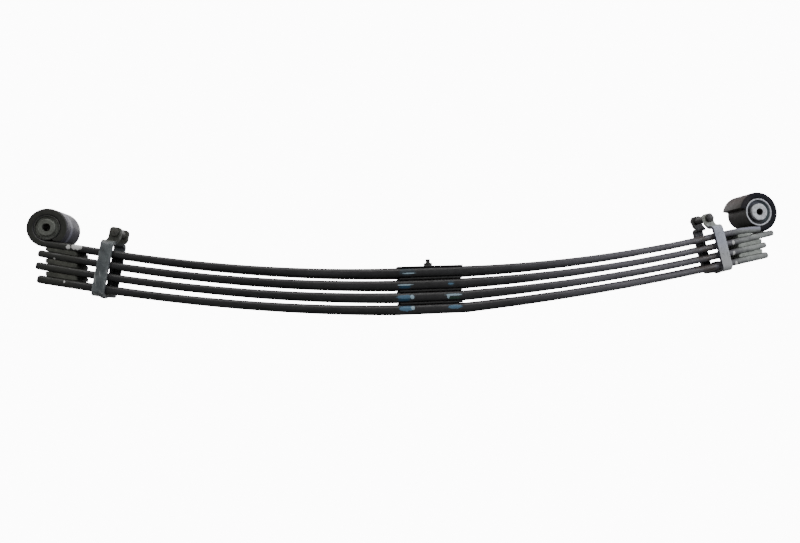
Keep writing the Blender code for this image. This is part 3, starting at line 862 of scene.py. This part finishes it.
def thread_rows(low, high, radius):
    """A threaded length, as close rings of crests and roots, with a chamfered end."""
    rows = []
    count = max(1, int((high - low) / THREAD_PITCH))
    for n in range(count):
        start = low + THREAD_PITCH * n
        rows.append((start, radius - THREAD_DEPTH, 0.0))
        rows.append((start + THREAD_PITCH * 0.5, radius, 1.0))
    rows.append((high - 0.0009, radius - 0.0004, 0.3))
    rows.append((high, radius - 0.0015, 0.3))
    return rows


def chamfered(low, high, radius, cut=0.0006):
    return [(low, radius - cut, 0.4), (low + cut, radius, 0.6),
            (high - cut, radius, 0.6), (high, radius - cut, 0.4)]


def make_centre(spacer_paint, plate_paint, bolt_paint):
    for n in range(LEAF_COUNT - 1):
        number = LEAF_COUNT - 1 - n
        low = n * (CENTRE_THICKNESS + CENTRE_GAP) + CENTRE_THICKNESS + CLEARANCE
        slab(f"spacer_{number}", low, CENTRE_GAP - 2 * CLEARANCE, SEAT_HALF - 0.001, 0.0010,
             spacer_paint, f"centre_spacer_{number}")
    slab("clamp_plate", PACK_HEIGHT + CLEARANCE, PLATE_THICKNESS, PLATE_HALF, 0.0009,
         plate_paint, "top_plate")
    top = PACK_HEIGHT + BOLT_STANDS_ABOVE_LEAF
    rows = [(0.0, DOWEL_RADIUS - 0.0009, 0.5), (0.0009, DOWEL_RADIUS, 0.7),
            (DOWEL_HEIGHT, DOWEL_RADIUS, 0.2), (DOWEL_HEIGHT, BOLT_RADIUS, 0.0)]
    rows += thread_rows(PACK_HEIGHT - 0.002, top, BOLT_RADIUS)
    bm = solid_turned(rows, (0, 0, 0), (0, 0, 1))
    bolt = finish_mesh("through_bolt", bm, bolt_paint)
    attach(bolt, "root")
    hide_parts("centre_bolt")
    lo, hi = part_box("centre_nut")
    bm = solid_turned(hex_rows(lo.z, hi.z, False, True), (0, 0, 0), (0, 0, 1))
    nut = finish_mesh("through_nut", bm, bolt_paint)
    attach(nut, "root")
    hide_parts("centre_nut")


def slab(name, low, thickness, half, bevel, paint, node):
    """A flat plate with rolled edges and a gently uneven face."""
    bm = bmesh.new()
    bmesh.ops.create_cube(bm, size=1.0)
    bmesh.ops.scale(bm, verts=bm.verts, vec=(2 * half, LEAF_WIDTH - 0.002, thickness))
    bmesh.ops.translate(bm, verts=bm.verts, vec=(0, 0, low + thickness / 2))
    bmesh.ops.bevel(bm, geom=bm.edges, offset=bevel, segments=3, profile=0.5, affect="EDGES",
                    clamp_overlap=True)
    bm.verts.layers.float.new("edge")
    thing = finish_mesh(name, bm, paint)
    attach(thing, "root")
    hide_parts(node)


def make_pads(arm, paint):
    for pad in range(LEAF_COUNT - 1):
        end = REAR_FIRST_PAD_END if arm is REAR and pad == 0 else LINER_END
        rings = []
        pieces = 14
        for n in range(pieces + 1):
            reach = PAD_START + (end - PAD_START) * n / pieces
            high = arm.bottom(pad, reach)
            low = arm.top(pad + 1, reach)
            inset = 0.0012 if n in (0, pieces) else 0.0
            ring = section_ring(arm.point(reach, high - inset), Vector((0, 0, 1)),
                                PAD_WIDTH - 2 * inset, high - low - 2 * inset, 0.0016)
            rings.append(ring)
        thing = finish_mesh(f"{arm.name}_liner_{pad + 1}", loft(rings), paint)
        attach(thing, f"{arm.name}_end")
        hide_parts(f"{arm.name}_pad_{pad + 1}")


def ring_profile(outer, inner, length, chamfer):
    half = length / 2
    return [
        (outer, half - chamfer), (outer - chamfer, half), (inner + chamfer, half),
        (inner, half - chamfer), (inner, chamfer - half), (inner + chamfer, -half),
        (outer - chamfer, -half), (outer, chamfer - half),
    ]


def make_bush(arm, outer_paint, rubber_paint, inner_paint):
    centre = arm.eye_centre()
    axis = (0, 1, 0)
    end_body = f"{arm.name}_end"
    profile = ring_profile(arm.bore - 0.0005, arm.rubber_radius + CLEARANCE, LEAF_WIDTH, 0.0006)
    shell = turned(f"{arm.name}_shell", profile, centre, axis, outer_paint,
                   (0, 1, 2, 3, 4, 5, 6, 7))
    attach(shell, end_body)
    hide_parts(f"{arm.name}_bush_outer_sleeve")
    inner = arm.inner_radius + CLEARANCE
    outer = arm.rubber_radius
    half = RUBBER_LENGTH / 2
    face = []
    steps = 16
    for n in range(steps + 1):
        share = n / steps
        radius = outer + (inner - outer) * share
        dip = 0.0032 * math.sin(math.pi * share) ** 0.7 + 0.0008 * (1 - share)
        face.append((radius, half - dip))
    profile = face + [(radius, -offset) for radius, offset in reversed(face)]
    rubber = turned(f"{arm.name}_rubber", profile, centre, axis, rubber_paint)
    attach(rubber, end_body)
    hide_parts(f"{arm.name}_bush_rubber")
    profile = ring_profile(arm.inner_radius, PIN_BORE_RADIUS, INNER_SLEEVE_LENGTH, 0.0012)
    core = turned(f"{arm.name}_core", profile, centre, axis, inner_paint,
                  (0, 1, 2, 3, 4, 5, 6, 7))
    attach(core, f"{arm.name}_bush_core")
    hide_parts(f"{arm.name}_bush_inner_sleeve")


class ClipFrame:
    """Directions at a clip: towards the eye, and square to the top leaf."""

    def __init__(self, arm):
        reach = arm.clip_reach
        lean = arm.slope(0, reach)
        self.base = arm.point(reach, arm.top(0, reach))
        self.normal = Vector((-arm.side * lean, 0.0, 1.0)).normalized()
        self.outboard = Vector((arm.side, 0.0, lean)).normalized()
        self.depth = (arm.top(0, reach) - arm.bottom(3, reach)) * self.normal.z

    def place(self, outboard, across, height):
        shift = self.outboard * outboard + self.normal * height
        return self.base + shift + Vector((0.0, across, 0.0))


def strap_edges(height, on_ear):
    """Inboard and outboard edges of the strap: a leg with a rounded shoulder, then an ear."""
    inboard = -STRAP_WIDTH / 2
    outboard = STRAP_WIDTH / 2
    if not on_ear:
        return inboard, outboard
    step = EAR_OFFSET * smoothstep(SHOULDER_HEIGHT, EAR_STEP_TOP, height)
    cut = 0.0
    if height > EAR_TOP - EAR_ROUND_END:
        rise = min(1.0, (height - EAR_TOP + EAR_ROUND_END) / EAR_ROUND_END)
        cut = EAR_ROUND_END * (1 - math.sqrt(max(0.0, 1 - rise * rise)))
    return inboard - step + cut, outboard - step - cut


def arc_points(across, height, radius, start, end, count):
    """Points along part of a circle, in (across, height), with angles in degrees."""
    points = []
    for n in range(count + 1):
        turn = math.radians(start + (end - start) * n / count)
        points.append((across + radius * math.cos(turn), height + radius * math.sin(turn)))
    return points


def strap_path(depth):
    """(across, height, on the ear) down one ear, over its shoulder and down the leg, then back."""
    floor = -depth - STRAP_FLOOR_GAP
    ear = [EAR_TOP - EAR_ROUND_END * (1 - math.cos(math.radians(15 * n))) for n in range(7)]
    low = SHOULDER_HEIGHT + EAR_FOLD
    count = 18
    ear += [EAR_TOP - EAR_ROUND_END + (low - EAR_TOP + EAR_ROUND_END) * n / count
            for n in range(1, count)]
    half = [(-EAR_SIDE, height, True) for height in ear]
    half += [(a, h, True) for a, h in
             arc_points(-EAR_SIDE - EAR_FOLD, SHOULDER_HEIGHT + EAR_FOLD, EAR_FOLD, 0, -90, 8)]
    half += [(a, h, False) for a, h in
             arc_points(-STRAP_SIDE + SHOULDER_RADIUS, SHOULDER_HEIGHT - SHOULDER_RADIUS,
                        SHOULDER_RADIUS, 90, 180, 6)]
    top = SHOULDER_HEIGHT - SHOULDER_RADIUS
    bottom = floor + BEND_RADIUS
    count = 30
    half += [(-STRAP_SIDE, top + (bottom - top) * n / count, False) for n in range(1, count)]
    half += [(a, h, False) for a, h in
             arc_points(-STRAP_SIDE + BEND_RADIUS, floor + BEND_RADIUS, BEND_RADIUS, 180, 270, 8)]
    half += [(-0.024, floor, False), (-0.015, floor, False), (-0.005, floor, False)]
    return half + [(-across, height, ear) for across, height, ear in reversed(half)]


def make_strap(arm, paint):
    clip = ClipFrame(arm)
    bm = bmesh.new()
    rows = []
    columns = 6
    for across, height, on_ear in strap_path(clip.depth):
        low, high = strap_edges(height, on_ear)
        rows.append([bm.verts.new(clip.place(low + (high - low) * n / columns, across, height))
                     for n in range(columns + 1)])
    for here, there in zip(rows, rows[1:]):
        for n in range(columns):
            bm.faces.new((here[n], here[n + 1], there[n + 1], there[n]))
    bmesh.ops.recalc_face_normals(bm, faces=bm.faces)
    middle = clip.place(0.0, 0.0, -clip.depth / 2)
    bm.faces.ensure_lookup_table()
    probe = bm.faces[len(bm.faces) // 2]
    if probe.normal.dot(probe.calc_center_median() - middle) < 0:
        bmesh.ops.reverse_faces(bm, faces=bm.faces)
    bm.verts.layers.float.new("edge")
    thing = finish_mesh(f"{arm.name}_strap", bm, paint)
    wall = thing.modifiers.new("wall", "SOLIDIFY")
    wall.thickness = STRAP_THICKNESS
    wall.offset = 1.0
    wall.use_even_offset = True
    roll = thing.modifiers.new("roll", "BEVEL")
    roll.width = 0.0013
    roll.segments = 3
    roll.limit_method = "ANGLE"
    roll.angle_limit = math.radians(50)
    apply_modifiers(thing)
    mark_edges(thing)
    thing.data.shade_smooth()
    thing.data.set_sharp_from_angle(angle=math.radians(40))
    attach(thing, f"{arm.name}_end")
    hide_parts(f"{arm.name}_clip_strap")
    return clip


def mark_edges(thing):
    """Writes 1 where a surface turns sharply outwards, for wear along the edges."""
    bm = bmesh.new()
    bm.from_mesh(thing.data)
    layer = bm.verts.layers.float.get("edge") or bm.verts.layers.float.new("edge")
    for vert in bm.verts:
        turns = [edge.calc_face_angle_signed(0.0) for edge in vert.link_edges]
        vert[layer] = min(1.0, max([0.0, *turns]) / math.radians(30))
    bm.to_mesh(thing.data)
    bm.free()


def make_clip(arm, strap_paint, bolt_paint):
    clip = make_strap(arm, strap_paint)
    head = EAR_SIDE + STRAP_THICKNESS + CLEARANCE
    end_body = f"{arm.name}_end"

    def at(across):
        return clip.place(-EAR_OFFSET, across, CLIP_BOLT_HEIGHT)

    length = 2 * head + NUT_HEIGHT + BOLT_PAST_NUT
    rows = hex_rows(-HEAD_HEIGHT, 0.0, True, False)
    rows.append((0.0, BOLT_RADIUS, 0.0))
    rows += thread_rows(length - NUT_HEIGHT - THREAD_BEHIND_NUT, length, BOLT_RADIUS)
    bolt = finish_mesh(f"{arm.name}_long_bolt",
                       solid_turned(rows, at(-head), (0, 1, 0)), bolt_paint)
    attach(bolt, end_body)
    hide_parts(f"{arm.name}_clip_bolt")
    nut = finish_mesh(f"{arm.name}_nut",
                      solid_turned(hex_rows(0.0, NUT_HEIGHT, False, True), at(head), (0, 1, 0)),
                      bolt_paint)
    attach(nut, end_body)
    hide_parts(f"{arm.name}_clip_nut")
    profile = ring_profile(TUBE_RADIUS, BOLT_HOLE_RADIUS, 2 * (EAR_SIDE - CLEARANCE), 0.0006)
    tube = turned(f"{arm.name}_roller", profile, at(0.0), (0, 1, 0), bolt_paint,
                  (0, 1, 6, 7))
    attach(tube, f"{arm.name}_clip_roller")
    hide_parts(f"{arm.name}_clip_tube")
    floor = -clip.depth - STRAP_FLOOR_GAP - STRAP_THICKNESS - CLEARANCE
    upper = -clip.depth + arm.thickness(3, arm.clip_reach) + 2 * CLEARANCE
    dome = []
    for n in range(7):
        turn = math.radians(90 * n / 6)
        dome.append((floor - RIVET_HEAD_HEIGHT * math.cos(turn),
                     max(0.0004, RIVET_HEAD_RADIUS * math.sin(turn)), 0.4))
    rows = dome + [(floor, RIVET_RADIUS, 0.0), (upper, RIVET_RADIUS, 0.0)]
    rows += chamfered(upper, upper + 0.002, RIVET_HEAD_RADIUS)
    rivet = finish_mesh(f"{arm.name}_stud", solid_turned(rows, clip.base, clip.normal, segments=48),
                        bolt_paint)
    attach(rivet, end_body)
    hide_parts(f"{arm.name}_clip_rivet")


# -------------------------------------------------------------------- build

leaf_black = paint_leaf()
pads = {
    FRONT: paint_pad("front_pad_grime", (0.040, 0.042, 0.034), (0.075, 0.078, 0.064)),
    REAR: paint_pad("rear_pad_grime", (0.200, 0.220, 0.200), (0.33, 0.355, 0.325)),
}
bolts = {
    FRONT: paint_bolt("front_bolt_oil", (0.030, 0.032, 0.026), (0.075, 0.077, 0.066), 0.35),
    REAR: paint_bolt("rear_bolt_oil", (0.006, 0.006, 0.006), (0.016, 0.016, 0.015), 0.15),
}
outer_steels = {
    FRONT: paint_sleeve("front_shell_steel", FRONT, (0.020, 0.021, 0.018),
                        (0.036, 0.038, 0.033), 0.1),
    REAR: paint_sleeve("rear_shell_steel", REAR, (0.38, 0.39, 0.42), (0.52, 0.53, 0.57), 0.2),
}
inner_steels = {
    FRONT: paint_sleeve("front_core_steel", FRONT, (0.095, 0.102, 0.088),
                        (0.145, 0.153, 0.136), 0.2),
    REAR: paint_sleeve("rear_core_steel", REAR, (0.34, 0.35, 0.36), (0.52, 0.54, 0.56), 0.3),
}
rubbers = {
    FRONT: paint_rubber("front_rubber_dusty", FRONT, (0.150, 0.160, 0.142), (0.210, 0.220, 0.198)),
    REAR: paint_rubber("rear_rubber_black", REAR, (0.008, 0.008, 0.010), (0.020, 0.021, 0.026)),
}

for side_arm in ARMS:
    make_top_half(side_arm, leaf_black, paint_eye(side_arm))
    for lower in range(1, LEAF_COUNT):
        make_lower_half(side_arm, lower, leaf_black)
    make_pads(side_arm, pads[side_arm])
    make_bush(side_arm, outer_steels[side_arm], rubbers[side_arm], inner_steels[side_arm])
    make_clip(side_arm, paint_clip(side_arm), bolts[side_arm])
make_centre(paint_pad("spacer_black", (0.003, 0.003, 0.003), (0.008, 0.008, 0.008)), leaf_black,
            paint_bolt("centre_bolt_oil", (0.02, 0.02, 0.019), (0.05, 0.05, 0.047)))


# ------------------------------------------------------------ studio, camera


def show_white(tree, kind, lit, output):
    """White paper to the camera's own rays, and the lit surface to all others."""
    shown = tree.nodes.new(kind)
    shown.inputs["Color"].default_value = (1.0, 1.0, 1.0, 1.0)
    shown.inputs["Strength"].default_value = PAPER_WHITE
    chosen = tree.nodes.new("ShaderNodeMixShader")
    path = tree.nodes.new("ShaderNodeLightPath")
    tree.links.new(path.outputs["Is Camera Ray"], chosen.inputs["Fac"])
    tree.links.new(lit.outputs[0], chosen.inputs[1])
    tree.links.new(shown.outputs[0], chosen.inputs[2])
    tree.links.new(chosen.outputs[0], output.inputs["Surface"])


def make_floor():
    """A pale sheet that runs under the spring and away behind it."""
    f = Finish("studio_white")
    tone = f.noise(1.5, 2.0)
    colour = f.mix(f.span(tone, 0.3, 0.7), (0.20, 0.20, 0.20), (0.24, 0.24, 0.24))
    f.bump(f.noise(300.0, 2.0), 0.02, 0.0005)
    material = f.done(colour, 0.9)
    show_white(f.material.node_tree, "ShaderNodeEmission", f.shader, f.nodes["Material Output"])
    bm = bmesh.new()
    bmesh.ops.create_grid(bm, x_segments=40, y_segments=40, size=20.0)
    floor = bpy.data.objects.new("floor", bpy.data.meshes.new("floor"))
    bm.to_mesh(floor.data)
    bm.free()
    floor.data.materials.append(material)
    floor.location = (0, 0, -0.0006)
    bpy.context.scene.collection.objects.link(floor)


def area_light(name, place, target, size, power, colour):
    data = bpy.data.lights.new(name, "AREA")
    data.shape = "RECTANGLE"
    data.size, data.size_y = size
    data.energy = power
    data.color = colour
    lamp = bpy.data.objects.new(name, data)
    lamp.location = place
    aim = Vector(target) - Vector(place)
    lamp.rotation_mode = "QUATERNION"
    lamp.rotation_quaternion = aim.to_track_quat("-Z", "Y")
    bpy.context.scene.collection.objects.link(lamp)


def make_lights():
    world = bpy.data.worlds.new("pale_studio")
    world.use_nodes = True
    nodes = world.node_tree.nodes
    light = nodes["Background"]
    light.inputs["Color"].default_value = (1.0, 1.0, 1.0, 1.0)
    light.inputs["Strength"].default_value = WORLD_LIGHT
    show_white(world.node_tree, "ShaderNodeBackground", light, nodes["World Output"])
    bpy.context.scene.world = world
    area_light("overhead", (-0.2, -0.9, 2.2), (0, 0, 0.1), (3.2, 1.2), 42.0, (1.0, 0.99, 0.97))
    area_light("right_fill", (2.4, -1.5, 0.9), (0.75, 0, 0.15), (1.4, 1.2), 30.0, (0.93, 0.94, 1.0))
    area_light("back_fill", (-0.3, 2.6, 1.3), (0, 0, 0.1), (3.2, 1.4), 26.0, (1.0, 0.99, 0.98))


def make_camera():
    """1.5 m away and just above the seat's height, looking up and rolled by a few degrees."""
    data = bpy.data.cameras.new("camera")
    data.sensor_width = 36.0
    data.lens = 26.55
    data.clip_start = 0.01
    data.clip_end = 100.0
    camera = bpy.data.objects.new("camera", data)
    right = Vector((0.99244, -0.11551, -0.04141))
    up = Vector((0.03353, -0.06930, 0.99703))
    back = Vector((-0.11803, -0.99089, -0.06491))
    turn = Matrix((right, up, back)).transposed()
    camera.matrix_world = Matrix.Translation((-0.24945, -1.48535, 0.01335)) @ turn.to_4x4()
    bpy.context.scene.collection.objects.link(camera)
    bpy.context.scene.camera = camera


make_floor()
make_lights()
make_camera()
